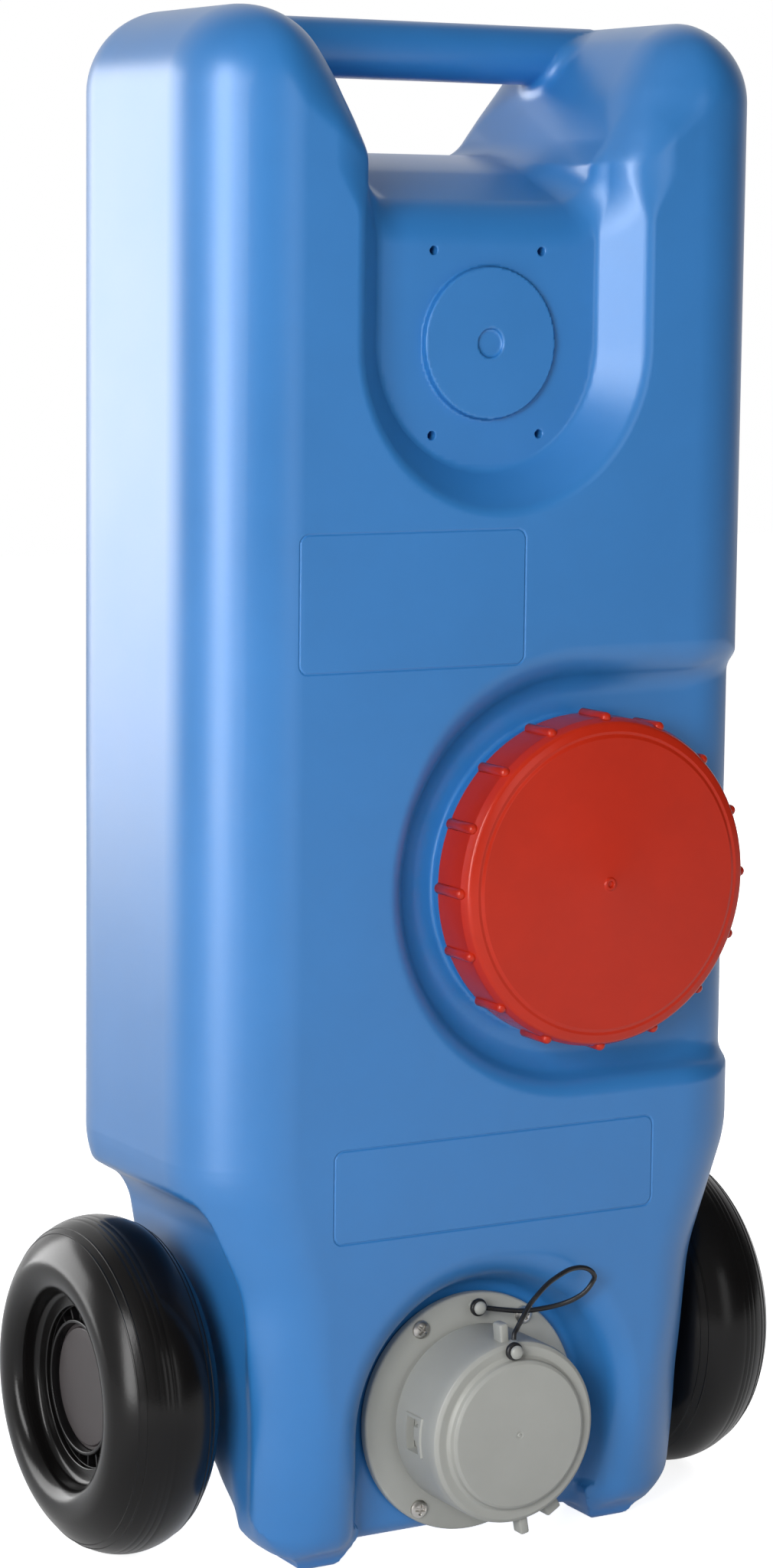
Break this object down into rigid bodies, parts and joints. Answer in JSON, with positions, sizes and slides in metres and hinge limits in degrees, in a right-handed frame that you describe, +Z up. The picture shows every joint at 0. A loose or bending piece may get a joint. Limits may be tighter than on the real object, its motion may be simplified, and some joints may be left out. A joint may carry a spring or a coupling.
{
  "type": "wheeled water bowser",
  "caption": "Upright moulded water tank on side wheels, with a carrying bar through the top, a large screw filler cap and a capped bayonet outlet at its foot.",
  "frame": {"origin": "on the ground, at the middle of the outline of the whole part seen from above", "axes": "+Z up; the front with the caps faces -Y; +X is to the right seen from the front"},
  "size_m": [0.394, 0.2194, 0.774],
  "materials": {
    "tank_blue": "satin moulded polyethylene",
    "cap_red": "satin moulded plastic",
    "outlet_grey": "satin moulded plastic",
    "seal_rubber": "matt",
    "screw_steel": "plain",
    "strap_black": "glossy",
    "axle_steel": "zinc plated",
    "bush_nylon": "plain",
    "tyre_black": "glossy moulded",
    "hub_black": "glossy moulded",
    "hub_cap_grey": "satin"
  },
  "bodies": {
    "tank": {"tank_shell": "tank_blue", "outlet_flange": "outlet_grey", "outlet_gasket": "seal_rubber", "outlet_screws": "screw_steel", "outlet_strap": "strap_black", "strap_flange_eye": "strap_black", "axle": "axle_steel", "left_spacer": "bush_nylon", "left_inner_washer": "axle_steel", "left_outer_washer": "axle_steel", "left_push_nut": "axle_steel", "right_spacer": "bush_nylon", "right_inner_washer": "axle_steel", "right_outer_washer": "axle_steel", "right_push_nut": "axle_steel"},
    "left_wheel": {"left_tyre": "tyre_black", "left_hub": "hub_black", "left_bush": "bush_nylon", "left_hub_cap": "hub_cap_grey"},
    "right_wheel": {"right_tyre": "tyre_black", "right_hub": "hub_black", "right_bush": "bush_nylon", "right_hub_cap": "hub_cap_grey"},
    "filler_ring": {"filler_cap_seal": "seal_rubber"},
    "filler_lid": {"filler_cap": "cap_red"},
    "outlet_ring": {"outlet_cap_seal": "seal_rubber"},
    "outlet_lid": {"outlet_cap": "outlet_grey", "strap_cap_eye": "strap_black"}
  },
  "joints": [
    {"name": "left_wheel_roll", "type": "hinge", "parent": "tank", "child": "left_wheel", "pos_m": [-0.166, 0.0237, 0.086], "axis": [1, 0, 0], "continuous": true},
    {"name": "right_wheel_roll", "type": "hinge", "parent": "tank", "child": "right_wheel", "pos_m": [0.166, 0.0237, 0.086], "axis": [1, 0, 0], "continuous": true},
    {"name": "filler_cap_lift", "type": "slide", "parent": "tank", "child": "filler_ring", "axis": [0, -1, 0], "range_m": [0, 0.0201]},
    {"name": "filler_cap_turn", "type": "hinge", "parent": "filler_ring", "child": "filler_lid", "pos_m": [0.049, -0.0813, 0.34598], "axis": [0, -1, 0], "range_deg": [0, 900]},
    {"name": "outlet_cap_lift", "type": "slide", "parent": "tank", "child": "outlet_ring", "axis": [0, -1, 0], "range_m": [0, 0.0451], "deforming": ["outlet_strap"]},
    {"name": "outlet_cap_turn", "type": "hinge", "parent": "outlet_ring", "child": "outlet_lid", "pos_m": [0, -0.0813, 0.07], "axis": [0, -1, 0], "range_deg": [0, 90], "deforming": ["outlet_strap"]}
  ],
  "couplings": [
    {"joint": "filler_cap_lift", "follows": "filler_cap_turn", "m_per_rad": 0.0012732},
    {"joint": "outlet_cap_lift", "follows": "outlet_cap_turn", "m_per_rad": 0.028648}
  ]
}
